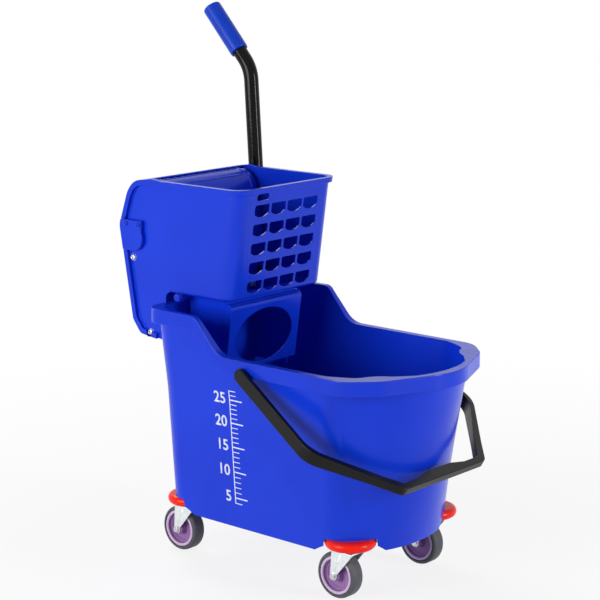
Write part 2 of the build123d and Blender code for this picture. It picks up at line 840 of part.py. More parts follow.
with BuildPart() as edge_band:
    add(basket_block(hook_bottom - margin, wringer_top + margin, edge_band_reach))
    extrude(housing_side(), amount=far, both=True, mode=Mode.INTERSECT)
    extrude(housing_side(edge_band_width), amount=far, both=True, mode=Mode.SUBTRACT)
    inner_block = basket_block(hook_bottom - 2 * margin, wringer_top + 2 * margin, -wringer_wall)
    add(inner_block, mode=Mode.SUBTRACT)
    with BuildSketch(Plane.XZ) as kept:
        with Locations((0, wringer_top - lip_height)):
            Rectangle(2 * far, far, align=(Align.CENTER, Align.MIN))
        with Locations((slot_x - 2 * edge_band_width, wringer_top)):
            Rectangle(far, 2 * far, align=(Align.MAX, Align.CENTER))
    extrude(kept.sketch, amount=far, both=True, mode=Mode.INTERSECT)

saddle_top = shoulder_height + saddle_thickness

with BuildPart() as basket_floor:
    extrude(basket_plan(wringer_floor, -wringer_wall / 2), amount=wringer_wall)
    with Locations((slot_x - wringer_wall, 0, wringer_floor)):
        Box(far, far, far, align=(Align.MIN, Align.CENTER, Align.CENTER), mode=Mode.INTERSECT)
    with Locations((neck_front_x - wringer_wall, 0, wringer_floor)):
        Box(far, 2 * inner_half, far, align=(Align.MAX, Align.CENTER, Align.CENTER), mode=Mode.SUBTRACT)

with BuildPart() as neck:
    # tube below the basket, with a thick-edged front panel that stands ahead of it
    with BuildSketch(side_plane(neck_half_width)):
        with BuildLine():
            Polyline(
                (neck_rear_x, neck_bottom),
                (neck_rear_x, floor_top),
                (neck_front_x, floor_top),
                (neck_front_x, wringer_floor),
                (neck_front(neck_bottom), neck_bottom),
                close=True,
            )
        make_face()
    extrude(amount=2 * neck_half_width)
    with BuildSketch(side_plane(panel_half_width)):
        with BuildLine():
            FilletPolyline(
                (neck_front(panel_top) - wringer_wall, panel_top),
                (neck_front(panel_top) + panel_reach, panel_top),
                (neck_front(panel_bottom) + panel_reach, panel_bottom),
                (neck_front(panel_bottom) - wringer_wall, panel_bottom),
                radius=[panel_edge_radius, wringer_wall / 2],
            )
            Line(
                (neck_front(panel_bottom) - wringer_wall, panel_bottom),
                (neck_front(panel_top) - wringer_wall, panel_top),
            )
        make_face()
    extrude(amount=2 * panel_half_width)
    with BuildSketch(side_plane(inner_half)):
        with BuildLine():
            Polyline(
                (neck_rear_x + wringer_wall, neck_bottom - wringer_wall),
                (0, neck_bottom - wringer_wall),
                (0, panel_bottom),
                (neck_front(panel_bottom) + panel_reach - wringer_wall, panel_bottom),
                (neck_front(panel_top) + panel_reach - wringer_wall, panel_top - wringer_wall),
                (neck_front_x - wringer_wall, panel_top - wringer_wall),
                (neck_front_x - wringer_wall, floor_top + wringer_wall),
                (-far, floor_top + wringer_wall),
                (-far, shoulder_height - 1),
                (neck_rear_x + wringer_wall, shoulder_height - 1),
                close=True,
            )
        make_face()
    extrude(amount=2 * inner_half, mode=Mode.SUBTRACT)
    with BuildSketch(Plane.YZ.offset(neck_front(panel_bottom) - 2 * panel_reach)):
        with Locations((0, panel_hole_z)):
            Ellipse(panel_hole_half_width, panel_hole_half_height)
    extrude(amount=far, mode=Mode.SUBTRACT)

with BuildPart() as hook:
    # the web that hangs behind the bucket's rear wall, and the saddle that rests on its rim
    with BuildSketch(Plane.YZ.offset(slot_x)):
        with Locations((0, hook_bottom)):
            Rectangle(
                2 * (wringer_half_width - wringer_wall / 2),
                floor_top - hook_bottom,
                align=(Align.CENTER, Align.MIN),
            )
        with Locations((0, saddle_top)):
            Rectangle(2 * inner_half, far, align=(Align.CENTER, Align.MIN), mode=Mode.SUBTRACT)
    extrude(amount=-wringer_wall)
    with Locations((slot_x, 0, shoulder_height)):
        Box(
            saddle_length,
            2 * neck_half_width,
            saddle_thickness,
            align=(Align.MIN, Align.CENTER, Align.MIN),
        )
    for side in (-1, 1):
        with Locations((slot_x, side * (inner_half + wringer_wall / 2), shoulder_height)):
            Box(
                neck_rear_x - slot_x + wringer_wall,
                wringer_wall,
                floor_top - shoulder_height,
                align=(Align.MIN, Align.CENTER, Align.MIN),
            )
        with BuildSketch(side_plane(side * hinge_boss_end_y)):
            with Locations((hinge_x, hinge_z)):
                Circle(hinge_boss_radius)
        extrude(amount=side * (hinge_boss_end_y - inner_half))

with BuildSketch(Plane.YZ) as hole_shape:
    with BuildLine():
        Polyline(
            (-hole_width / 2, hole_sag),
            (-hole_width / 2, hole_sag + hole_straight),
            (hole_width / 2, hole_sag + hole_straight),
            (hole_width / 2, hole_sag),
        )
        ThreePointArc((hole_width / 2, hole_sag), (0, 0), (-hole_width / 2, hole_sag))
    make_face()
    fillet(hole_shape.vertices().group_by(Axis.Z)[-1], hole_sag / 2)



def cap_outline(y, grow=0.0):
    """The bearing cap: round at the front and below, square above, and out past the panel's rear edge."""
    with BuildSketch(side_plane(y)) as outline:
        with Locations((shaft_x, shaft_z)):
            Circle(cap_radius + grow)
            Rectangle(cap_tab_reach + grow, cap_tab_top + grow, align=(Align.MIN, Align.MIN))
            Rectangle(far, cap_tab_top + grow, align=(Align.MAX, Align.MIN))
            Rectangle(far, cap_radius + grow, align=(Align.MAX, Align.MAX))
    return outline.sketch


cap_screw_points = [
    (shaft_x - cap_screw_spacing / 2, shaft_z + cap_screw_rise),
    (shaft_x + cap_screw_spacing / 2, shaft_z + cap_screw_rise),
]

with BuildPart() as wringer_housing:
    # the two side panels and the perforated wall are one thin wall
    add(basket_block(hook_bottom - margin, wringer_top + margin))
    extrude(housing_side(), amount=far, both=True, mode=Mode.INTERSECT)
    inner_block = basket_block(hook_bottom - 2 * margin, wringer_top + 2 * margin, -wringer_wall)
    add(inner_block, mode=Mode.SUBTRACT)
    add(edge_band.part)
    add(basket_floor.part)
    add(neck.part)
    add(hook.part)
    with BuildSketch(Plane.YZ.offset(neck_front_x)):
        with Locations((0, lowest_hole_z + (hole_rows - 1) * hole_pitch_z / 2)):
            with GridLocations(hole_pitch_y, hole_pitch_z, hole_columns, hole_rows):
                add(hole_shape.sketch_local)
        with Locations((slot_hole_y, slot_hole_z)):
            SlotOverall(slot_hole_width, slot_hole_height)
    extrude(amount=far, mode=Mode.SUBTRACT)
    with BuildSketch(side_plane(far)):
        with Locations((hinge_x, hinge_z)):
            Circle(hinge_pin_radius + fit_gap)
        with Locations((shaft_x, shaft_z)):
            Circle(bush_radius + fit_gap)
        with Locations(*cover_bolt_points):
            Circle(cover_bolt_radius + fit_gap)
        with Locations(*cap_screw_points):
            Circle(screw_radius + fit_gap)
    extrude(amount=2 * far, mode=Mode.SUBTRACT)
    for side in (-1, 1):
        # the edge band is cut away round each bolt head
        with BuildSketch(side_plane(side * far)):
            with Locations(*cover_bolt_points):
                Circle(cover_bolt_head_radius + seat_gap)
        extrude(amount=side * (far - wringer_half_width), mode=Mode.SUBTRACT)
        # and where the bearing cap crosses it
        extrude(
            cap_outline(side * far, seat_gap),
            amount=side * (far - wringer_half_width),
            mode=Mode.SUBTRACT,
        )
save(wringer_housing.part, "wringer_housing")

# ---- wringer rear cover -----------------------------------------------------------
cover_half = wringer_half_width - wringer_wall - fit_gap
cover_bottom_front_x = slot_x - wringer_wall - 2 * cover_thickness

with BuildPart() as cover_lugs:
    for side in (-1, 1):
        with BuildSketch(side_plane(side * cover_half)):
            with Locations(*cover_bolt_points):
                Circle(cover_lug_radius)
                Rectangle(
                    cover_hump_radius / 2,
                    2 * cover_lug_radius,
                    align=(Align.MAX, Align.CENTER),
                )
        extrude(amount=side * cover_bolt_length / 2)
    extrude(housing_side(fit_gap), amount=far, both=True, mode=Mode.INTERSECT)

with BuildPart() as rear_cover:
    extrude(housing_side(), amount=cover_half, both=True)
    with BuildSketch(side_plane(cover_hump_half_width)):
        with Locations((shaft_x, shaft_z)):
            Circle(cover_hump_radius)
    extrude(amount=2 * cover_hump_half_width)
    extrude(housing_side(cover_thickness), amount=cover_half, both=True, mode=Mode.SUBTRACT)
    with BuildSketch(side_plane(cover_hump_half_width - cover_thickness)):
        with Locations((shaft_x, shaft_z)):
            Circle(cover_hump_radius - cover_thickness)
    extrude(amount=2 * (cover_hump_half_width - cover_thickness), mode=Mode.SUBTRACT)
    with Locations((shaft_x + cover_top_ahead, 0, shaft_z)):
        Box(3 * far, far, far, align=(Align.MIN, Align.CENTER, Align.MIN), mode=Mode.SUBTRACT)
    with Locations((cover_bottom_front_x, 0, shaft_z)):
        Box(3 * far, far, 2 * far, align=(Align.MIN, Align.CENTER, Align.CENTER), mode=Mode.SUBTRACT)
    add(cover_lugs.part)
    with BuildSketch(side_plane(far)):
        with Locations(*cover_bolt_points):
            Circle(cover_bolt_radius + fit_gap)
    extrude(amount=2 * far, mode=Mode.SUBTRACT)
save(rear_cover.part, "rear_cover")


# ---- fasteners --------------------------------------------------------------------
def make_screw(name, face, direction, head_radius, head_height, shank_radius, length):
    """A round-headed screw whose head sits on a face and whose shank goes into it."""
    seat = Plane(origin=face, z_dir=direction)
    with BuildPart() as screw:
        with BuildSketch(seat):
            Circle(head_radius)
        extrude(amount=head_height)
        with BuildSketch(seat):
            Circle(shank_radius)
        extrude(amount=-length)
    save(screw.part, name)


sides = {"left": -1, "right": 1}
for side_name, side in sides.items():
    for place, (x, z) in zip(("upper", "lower"), cover_bolt_points):
        make_screw(
            f"cover_bolt_{place}_{side_name}",
            (x, side * wringer_half_width, z),
            (0, side, 0),
            cover_bolt_head_radius,
            cover_bolt_head,
            cover_bolt_radius,
            cover_bolt_length,
        )

# ---- press plate ------------------------------------------------------------------
# It is drawn in its own side plane: x runs forward from the hinge axis, square to the
# plate's face, and y runs up the plate.
plate_turn = math.radians(plate_lean)


def plate_side(y):
    return Plane(
        origin=(hinge_x, y, hinge_z),
        x_dir=(math.cos(plate_turn), 0, math.sin(plate_turn)),
        z_dir=(0, -1, 0),
    )


def plate_front(y):
    """A plane square to the plate's face normal: its x is Y and its y runs up the plate."""
    return Plane(origin=(hinge_x, y, hinge_z), x_dir=(0, 1, 0), z_dir=plate_side(y).x_dir)


plate_back = plate_face - plate_skin
curl_x = plate_face - plate_curl_radius
flange_x = plate_face - plate_flange_depth
pitch_radius = gear_module * sector_teeth / 2
root_radius = pitch_radius - gear_dedendum * gear_module
knuckle_notch = hinge_knuckle_radius + seat_gap

with BuildPart() as press_plate:
    with BuildSketch(plate_side(plate_half_width)):
        with BuildLine():
            Line((plate_face, 0), (plate_face, plate_height))
            CenterArc((curl_x, plate_height), plate_curl_radius, 0, 90)
            Line(
                (curl_x, plate_height + plate_curl_radius),
                (curl_x, plate_height + plate_curl_radius - plate_skin),
            )
            CenterArc((curl_x, plate_height), plate_curl_radius - plate_skin, 0, 90)
            Line((plate_back, plate_height), (plate_back, 0))
            Line((plate_back, 0), (plate_face, 0))
        make_face()
    extrude(amount=2 * plate_half_width)
    for side in (-1, 1):
        with BuildSketch(plate_side(side * plate_half_width)):
            with BuildLine():
                Line((plate_face, plate_tail_height), (plate_face, plate_height))
                CenterArc((curl_x, plate_height), plate_curl_radius, 0, 90)
                Line((curl_x, plate_height + plate_curl_radius), (flange_x, plate_height))
                Line((flange_x, plate_height), (flange_x, plate_tail_height))
                Line((flange_x, plate_tail_height), (plate_face, plate_tail_height))
            make_face()
        extrude(amount=side * plate_skin)
        with BuildSketch(plate_side(side * far)):
            with Locations((plate_face, plate_tail_height)):
                Rectangle(2 * plate_flange_depth, far, align=(Align.CENTER, Align.MAX))
        extrude(amount=side * (far - plate_tail_half_width), mode=Mode.SUBTRACT)
        with BuildSketch(plate_side(side * knuckle_gap_end_y)):
            Rectangle(4 * knuckle_notch, 2 * knuckle_notch)
        extrude(amount=side * (knuckle_gap_end_y - knuckle_end_y), mode=Mode.SUBTRACT)
        with BuildSketch(plate_side(side * plate_tail_half_width)):
            Circle(hinge_knuckle_radius)
        extrude(amount=side * (plate_tail_half_width - knuckle_gap_end_y))
    with BuildSketch(plate_side(knuckle_end_y)):
        Circle(hinge_knuckle_radius)
    extrude(amount=2 * knuckle_end_y)
    with BuildSketch(plate_side(far)):
        Circle(hinge_pin_radius + running_gap)
    extrude(amount=2 * far, mode=Mode.SUBTRACT)
    for side in (-1, 1):
        with BuildSketch(plate_front(side * gear_middle_y)):
            with Locations((0, sector_screw_height)):
                Circle(screw_radius + fit_gap)
        extrude(amount=2 * plate_face, mode=Mode.SUBTRACT)
save(press_plate.part, "press_plate")

with BuildPart() as hinge_pin:
    with BuildSketch(side_plane(hinge_boss_end_y + hinge_pin_tip)):
        with Locations((hinge_x, hinge_z)):
            Circle(hinge_pin_radius)
    extrude(amount=2 * hinge_boss_end_y + hinge_pin_tip)
    with BuildSketch(side_plane(-hinge_boss_end_y)):
        with Locations((hinge_x, hinge_z)):
            Circle(hinge_pin_head_radius)
    extrude(amount=hinge_pin_head)
save(hinge_pin.part, "plate_hinge_pin")

with BuildPart() as pin_clip:
    with BuildSketch(side_plane(hinge_boss_end_y + hinge_clip)):
        with Locations((hinge_x, hinge_z)):
            Circle(hinge_pin_head_radius)
            Circle(hinge_pin_radius + fit_gap, mode=Mode.SUBTRACT)
    extrude(amount=hinge_clip)
save(pin_clip.part, "plate_pin_clip")


# ---- gears ------------------------------------------------------------------------
def tooth_sketch(teeth, centre, angle):
    """One involute tooth of a gear in the side view, pointing at an angle."""
    pitch = gear_module * teeth / 2
    base = pitch * math.cos(math.radians(pressure_angle))
    root = pitch - gear_dedendum * gear_module
    tip = pitch + gear_addendum * gear_module
    start = max(base, root)
    rolled = math.tan(math.radians(pressure_angle)) - math.radians(pressure_angle)
    half_tooth = math.pi / (2 * teeth) - gear_backlash / (2 * pitch)

    def flank(radius):
        roll = math.acos(base / radius)
        return polar(radius, math.degrees(half_tooth + rolled - math.tan(roll) + roll))

    x_dir, z_dir = polar(1, angle)
    with BuildSketch(Plane(centre, x_dir=(x_dir, 0, z_dir), z_dir=(0, -1, 0))) as tooth:
        with BuildLine():
            edge = ThreePointArc(flank(start), flank((start + tip) / 2), flank(tip))
            Line(edge @ 1, (tip, 0))
            Line(edge @ 0, (root - gear_module, (edge @ 0).Y))
            Line((root - gear_module, (edge @ 0).Y), (root - gear_module, 0))
            mirror(about=Plane.XZ)
        make_face()
    return tooth.sketch


def make_sector(side_name, side):
    low_y = side * gear_middle_y - gear_width / 2
    pitch_angle = 360 / sector_teeth
    last_angle = mesh_angle + (sector_last_tooth + 0.5) * pitch_angle
    end_angle = last_angle + sector_end_margin - plate_lean
    back_height = math.sqrt(root_radius ** 2 - plate_back ** 2)
    back_angle = math.degrees(math.acos(plate_back / root_radius))
    window_end = end_angle - sector_window_setback
    inner_start = math.degrees(math.acos(-sector_window_setback / sector_window_inner))
    outer_start = math.degrees(math.acos(-sector_window_setback / sector_window_outer))
    with BuildPart() as sector:
        with BuildSketch(plate_side(low_y + gear_width)):
            with BuildLine():
                Line((0, 0), (plate_back, 0))
                Line((plate_back, 0), (plate_back, back_height))
                CenterArc((0, 0), root_radius, back_angle, end_angle - back_angle)
                Line(polar(root_radius, end_angle), (0, 0))
            make_face()
            with BuildLine():
                outer = CenterArc((0, 0), sector_window_outer, outer_start, window_end - outer_start)
                inner = CenterArc((0, 0), sector_window_inner, inner_start, window_end - inner_start)
                Line(outer @ 1, inner @ 1)
                Line(outer @ 0, inner @ 0)
            make_face(mode=Mode.SUBTRACT)
            Circle(hinge_knuckle_radius)
            Circle(hinge_pin_radius + running_gap, mode=Mode.SUBTRACT)
        extrude(amount=gear_width)
        for number in range(sector_first_tooth, sector_last_tooth + 1):
            angle = mesh_angle + (number + 0.5) * pitch_angle
            tooth = tooth_sketch(sector_teeth, (hinge_x, low_y + gear_width, hinge_z), angle)
            extrude(tooth, amount=gear_width)
        with BuildSketch(plate_front(side * gear_middle_y)):
            with Locations((0, sector_screw_height)):
                Circle(screw_radius + fit_gap)
        extrude(amount=-sector_screw_length, both=True, mode=Mode.SUBTRACT)
    save(sector.part, f"plate_sector_{side_name}")


def make_pinion(side_name, side):
    low_y = side * gear_middle_y - gear_width / 2
    root = gear_module * pinion_teeth / 2 - gear_dedendum * gear_module
    with BuildPart() as pinion:
        with BuildSketch(side_plane(low_y + gear_width)):
            with Locations((shaft_x, shaft_z)):
                Circle(root)
        extrude(amount=gear_width)
        for number in range(pinion_teeth):
            angle = mesh_angle + 180 + number * 360 / pinion_teeth
            tooth = tooth_sketch(pinion_teeth, (shaft_x, low_y + gear_width, shaft_z), angle)
            extrude(tooth, amount=gear_width)
        with BuildSketch(side_plane(low_y + gear_width)):
            with Locations((shaft_x, shaft_z)):
                Circle(shaft_radius + fit_gap)
        extrude(amount=gear_width, mode=Mode.SUBTRACT)
    save(pinion.part, f"drive_gear_{side_name}")


def make_bush(side_name, side):
    inner_y = side * (wringer_half_width - wringer_wall)
    with BuildPart() as bush:
        with BuildSketch(side_plane(side * wringer_half_width)):
            with Locations((shaft_x, shaft_z)):
                Circle(bush_radius)
        extrude(amount=side * wringer_wall)
        with BuildSketch(side_plane(inner_y)):
            with Locations((shaft_x, shaft_z)):
                Circle(bush_flange_radius)
        extrude(amount=side * bush_flange)
        with BuildSketch(side_plane(side * wringer_half_width)):
            with Locations((shaft_x, shaft_z)):
                Circle(shaft_radius + running_gap)
        extrude(amount=side * (wringer_wall + bush_flange), mode=Mode.SUBTRACT)
    save(bush.part, f"shaft_bush_{side_name}")


def make_bearing_cap(side_name, side, bore_depth):
    outer_y = side * (wringer_half_width + cap_thickness)
    with BuildPart() as cap:
        extrude(cap_outline(outer_y), amount=side * cap_thickness)
        extrude(housing_side(seat_gap), amount=far, both=True, mode=Mode.INTERSECT)
        outside = cap.faces().sort_by(Axis.Y)[0 if side < 0 else -1]
        chamfer(outside.edges(), cap_chamfer)
        with BuildSketch(side_plane(side * wringer_half_width)):
            with Locations((shaft_x, shaft_z)):
                Circle(shaft_radius + seat_gap)
        extrude(amount=-side * bore_depth, mode=Mode.SUBTRACT)
        with BuildSketch(side_plane(outer_y)):
            with Locations(*cap_screw_points):
                Circle(screw_radius + fit_gap)
        extrude(amount=side * cap_thickness, mode=Mode.SUBTRACT)
    save(cap.part, f"bearing_cap_{side_name}")


blind_depth = -shaft_left_y - wringer_half_width + seat_gap
for side_name, side in sides.items():
    make_sector(side_name, side)
    make_pinion(side_name, side)
    make_bush(side_name, side)
    make_bearing_cap(side_name, side, cap_thickness if side > 0 else blind_depth)
    screw_plane = plate_front(side * gear_middle_y)
    make_screw(
        f"sector_screw_{side_name}",
        screw_plane.from_local_coords((0, sector_screw_height, plate_face)),
        screw_plane.z_dir,
        screw_head_radius,
        screw_head_height,
        screw_radius,
        sector_screw_length,
    )
    for place, (x, z) in zip(("rear", "front"), cap_screw_points):
        make_screw(
            f"cap_screw_{place}_{side_name}",
            (x, side * (wringer_half_width + cap_thickness), z),
            (0, side, 0),
            screw_head_radius,
            screw_head_height,
            screw_radius,
            cap_thickness + wringer_wall + bush_flange,
        )

with BuildPart() as drive_shaft:
    with BuildSketch(side_plane(shaft_right_y)):
        with Locations((shaft_x, shaft_z)):
            Circle(shaft_radius)
    extrude(amount=shaft_right_y - shaft_left_y)
    with BuildSketch(side_plane(shaft_right_y)):
        with Locations((shaft_x, shaft_z)):
            Circle(hub_screw_radius + fit_gap)
    extrude(amount=hub_screw_length, mode=Mode.SUBTRACT)
save(drive_shaft.part, "drive_shaft")

with BuildPart() as return_spring:
    with BuildLine() as coil:
        Helix(
            spring_pitch,
            spring_turns * spring_pitch,
            spring_radius,
            center=(shaft_x, spring_start_y, shaft_z),
            direction=(0, 1, 0),
        )
    with BuildSketch(Plane(coil.line @ 0, z_dir=coil.line % 0)):
        Circle(spring_wire)
    sweep(path=coil.line, is_frenet=True)
save(return_spring.part, "return_spring")

# ---- lever ------------------------------------------------------------------------
lean_x, lean_z = polar(1, 90 + lever_lean)
bend_rise = (lever_bend_z - lever_foot_z) / lean_z
lever_bend_x = lever_foot_x + bend_rise * lean_x
grip_x, grip_z = polar(1, 90 + lever_grip_angle)
tube_end = grip_start + grip_length - tube_end_gap
socket_plane = Plane((lever_foot_x, lever_y, lever_foot_z), z_dir=(lean_x, 0, lean_z))
grip_plane = Plane(
    (lever_bend_x + grip_start * grip_x, lever_y, lever_bend_z + grip_start * grip_z),
    z_dir=(grip_x, 0, grip_z),
)
bolt_plane = Plane(
    (lever_foot_x + lever_bolt_rise * lean_x, lever_y, lever_foot_z + lever_bolt_rise * lean_z),
    z_dir=(lean_z, 0, -lean_x),
)

with BuildPart() as lever_socket:
    with BuildSketch(side_plane(lever_hub_right_y)):
        with Locations((shaft_x, shaft_z)):
            Circle(lever_hub_radius)
    extrude(amount=lever_hub_right_y - lever_hub_left_y)
    with BuildSketch(side_plane(lever_y + socket_arm_thickness / 2)):
        with BuildLine():
            Polyline(
                (shaft_x, shaft_z + lever_hub_radius),
                (lever_foot_x + arm_top_rise * lean_x, lever_foot_z + arm_top_rise * lean_z),
                (lever_foot_x, lever_foot_z),
                (shaft_x, shaft_z - lever_hub_radius),
                close=True,
            )
        make_face()
    extrude(amount=socket_arm_thickness)
    with BuildSketch(socket_plane.offset(-lever_socket_floor)):
        Circle(lever_socket_radius)
    extrude(amount=lever_socket_length)
    with BuildSketch(socket_plane):
        Circle(tube_radius + fit_gap)
    extrude(amount=lever_socket_length, mode=Mode.SUBTRACT)
    with BuildSketch(side_plane(lever_hub_right_y)):
        with Locations((shaft_x, shaft_z)):
            Circle(shaft_radius + fit_gap)
    extrude(amount=lever_hub_right_y - lever_hub_left_y, mode=Mode.SUBTRACT)
    with BuildSketch(bolt_plane):
        Circle(lever_bolt_radius + fit_gap)
    extrude(amount=2 * lever_socket_radius, both=True, mode=Mode.SUBTRACT)
save(lever_socket.part, "lever_socket")

make_screw(
    "hub_screw",
    (shaft_x, lever_hub_right_y, shaft_z),
    (0, 1, 0),
    hub_screw_head_radius,
    hub_screw_head,
    hub_screw_radius,
    hub_screw_length,
)

with BuildPart() as lever_tube:
    with BuildLine(side_plane(lever_y)) as tube_path:
        FilletPolyline(
            (lever_foot_x, lever_foot_z),
            (lever_bend_x, lever_bend_z),
            (lever_bend_x + tube_end * grip_x, lever_bend_z + tube_end * grip_z),
            radius=lever_bend_radius,
        )
    with BuildSketch(socket_plane):
        Circle(tube_radius)
        Circle(tube_bore, mode=Mode.SUBTRACT)
    sweep(path=tube_path.line)
    with BuildSketch(bolt_plane):
        Circle(lever_bolt_radius + fit_gap)
    extrude(amount=2 * lever_socket_radius, both=True, mode=Mode.SUBTRACT)
save(lever_tube.part, "lever_tube")

with BuildPart() as lever_grip:
    with BuildSketch(grip_plane):
        Circle(grip_radius)
    extrude(amount=grip_length)
    fillet(lever_grip.edges().group_by(Axis.Z)[-1], grip_end_radius)
    with BuildSketch(grip_plane):
        Circle(tube_radius + fit_gap)
    extrude(amount=grip_length - tube_end_gap + fit_gap, mode=Mode.SUBTRACT)
save(lever_grip.part, "lever_grip")

make_screw(
    "tube_bolt",
    bolt_plane.from_local_coords((0, 0, lever_socket_radius)),
    bolt_plane.z_dir,
    lever_bolt_head_radius,
    lever_bolt_head_height,
    lever_bolt_radius,
    2 * lever_socket_radius + lever_bolt_head_height,
)
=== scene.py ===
"""Looks of the mop bucket and its wringer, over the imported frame. Metres, in the frame's own axes."""

import json
import math

import bmesh
import bpy
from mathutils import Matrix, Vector

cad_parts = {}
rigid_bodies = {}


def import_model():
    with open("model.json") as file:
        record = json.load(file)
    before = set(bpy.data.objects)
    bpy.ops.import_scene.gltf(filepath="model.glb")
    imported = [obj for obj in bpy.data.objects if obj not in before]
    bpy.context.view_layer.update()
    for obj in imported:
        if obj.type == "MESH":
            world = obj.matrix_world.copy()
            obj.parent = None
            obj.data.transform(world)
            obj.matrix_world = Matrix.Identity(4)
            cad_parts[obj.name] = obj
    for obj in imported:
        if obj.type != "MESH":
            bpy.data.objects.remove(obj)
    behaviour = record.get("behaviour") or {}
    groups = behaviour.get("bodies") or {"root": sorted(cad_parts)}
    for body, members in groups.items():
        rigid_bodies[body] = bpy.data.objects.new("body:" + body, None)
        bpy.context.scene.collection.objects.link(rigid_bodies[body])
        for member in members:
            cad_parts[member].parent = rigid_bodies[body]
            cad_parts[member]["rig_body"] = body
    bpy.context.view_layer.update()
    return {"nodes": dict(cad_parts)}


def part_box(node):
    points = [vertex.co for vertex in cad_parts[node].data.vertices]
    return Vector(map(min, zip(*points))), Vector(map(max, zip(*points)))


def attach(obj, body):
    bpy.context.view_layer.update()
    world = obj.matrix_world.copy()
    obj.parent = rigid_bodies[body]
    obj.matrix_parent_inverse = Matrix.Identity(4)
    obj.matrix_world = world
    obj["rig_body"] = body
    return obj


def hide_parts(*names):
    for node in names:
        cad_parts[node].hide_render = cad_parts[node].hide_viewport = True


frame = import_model()

CORNERS = ("rear_left", "rear_right", "front_left", "front_right")
SIDES = ("left", "right")
ENDS = ("rear", "front")
LEVELS = ("upper", "lower")
MERGE_DISTANCE = 0.00001


# ---- materials --------------------------------------------------------------------
def linear(red, green, blue):
    """A colour given in 0 to 255 as the renderer's linear values."""
    values = []
    for part in (red, green, blue):
        share = part / 255
        values.append(share / 12.92 if share <= 0.04045 else ((share + 0.055) / 1.055) ** 2.4)
    return (*values, 1.0)


class Nodes:
    """A material with its nodes, built up by name."""

    def __init__(self, name):
        self.material = bpy.data.materials.new(name)
        self.material.use_nodes = True
        self.tree = self.material.node_tree
        self.shader = self.tree.nodes["Principled BSDF"]
        self.position = self.tree.nodes.new("ShaderNodeTexCoord").outputs["Object"]

    def set(self, name, value):
        self.shader.inputs[name].default_value = value

    def node(self, kind, inputs=None, **settings):
        made = self.tree.nodes.new(kind)
        for name, value in settings.items():
            setattr(made, name, value)
        for name, value in (inputs or {}).items():
            if isinstance(value, bpy.types.NodeSocket):
                self.tree.links.new(value, made.inputs[name])
            else:
                made.inputs[name].default_value = value
        return made

    def link(self, output, name):
        self.tree.links.new(output, self.shader.inputs[name])

    def noise(self, size, detail=3.0):
        """Noise whose features are about as large as size."""
        scaled = self.node("ShaderNodeMapping", {"Vector": self.position, "Scale": [1 / size] * 3})
        return self.node(
            "ShaderNodeTexNoise", {"Vector": scaled.outputs[0], "Scale": 1.0, "Detail": detail}
        ).outputs["Fac"]

    def spread(self, value, low, high, source_low=0.3, source_high=0.7):
        """A value between source_low and source_high carried over to low and high."""
        return self.node(
            "ShaderNodeMapRange",
            {
                "Value": value,
                "From Min": source_low,
                "From Max": source_high,
                "To Min": low,
                "To Max": high,
            },
        ).outputs[0]

    def mix(self, share, first, second):
        made = self.node("ShaderNodeMix", data_type="RGBA")
        for socket, value in ((made.inputs[0], share), (made.inputs[6], first), (made.inputs[7], second)):
            if isinstance(value, bpy.types.NodeSocket):
                self.tree.links.new(value, socket)
            else:
                socket.default_value = value
        return made.outputs[2]

    def bump(self, height, distance):
        inputs = {"Height": height, "Distance": distance, "Strength": 1.0}
        return self.node("ShaderNodeBump", inputs).outputs[0]


def moulded(name, colour, shade, roughness, grain=0.006, relief=0.000003, specular=0.2):
    """Moulded plastic: slight drift of colour, a very shallow grain, and handling marks in the gloss."""
    n = Nodes(name)
    drift = n.noise(0.14, 2.0)
    n.link(n.mix(n.spread(drift, 0.0, 1.0), shade, colour), "Base Color")
    n.link(n.spread(n.noise(0.05, 3.0), roughness - 0.03, roughness + 0.05), "Roughness")
    n.link(n.bump(n.noise(grain, 2.0), relief), "Normal")
    n.set("Specular IOR Level", specular)
    return n.material


def plated(name, colour, shade, roughness):
    """Zinc plate: a faint grain and cloudy gloss."""
    n = Nodes(name)
    n.link(n.mix(n.spread(n.noise(0.006, 3.0), 0.0, 1.0), shade, colour), "Base Color")
    n.link(n.spread(n.noise(0.010, 3.0), roughness - 0.05, roughness + 0.07), "Roughness")
    n.link(n.bump(n.noise(0.002, 2.0), 0.000008), "Normal")
    n.set("Metallic", 1.0)
    return n.material


def printed(name, colour):
    """Screen-printed ink, a little thin in places."""
    n = Nodes(name)
    n.link(n.mix(n.spread(n.noise(0.004, 4.0), 0.0, 1.0), colour, linear(206, 214, 240)), "Base Color")
    n.link(n.spread(n.noise(0.010, 3.0), 0.34, 0.46), "Roughness")
    return n.material


blue = moulded("blue_plastic", linear(15, 57, 210), linear(11, 51, 200), 0.22)
black = moulded("black_plastic", linear(15, 15, 16), linear(10, 10, 11), 0.26)
paint = moulded("black_paint", linear(7, 7, 8), linear(5, 5, 6), 0.12, specular=0.13)
grip = moulded("blue_grip", linear(12, 66, 196), linear(8, 54, 180), 0.34, 0.0024, 0.00008)
red = moulded("red_rubber", linear(246, 32, 12), linear(234, 26, 9), 0.28)
# Painted light on the wheel cores: one lilac plastic in two copies, a darker one for the hub and web that
# is painted shade in the recess, and a lighter one for the rim that is a painted highlight where the rim
# catches light.
core = moulded("core_plastic", linear(152, 116, 168), linear(138, 102, 154), 0.30)
core_rim_painted_highlight = moulded("core_rim_plastic_painted_highlight", linear(214, 190, 222), linear(204, 178, 212), 0.26)
tread = moulded("tyre_rubber", linear(88, 90, 94), linear(78, 80, 84), 0.46, 0.0025, 0.00004)
gear = moulded("white_gear", linear(226, 226, 222), linear(216, 216, 210), 0.36)
ink = printed("white_ink", linear(236, 240, 250))
fork_plate = plated("fork_plate", linear(236, 240, 240), linear(220, 226, 228), 0.30)
steel = plated("steel", linear(210, 210, 214), linear(190, 190, 196), 0.22)

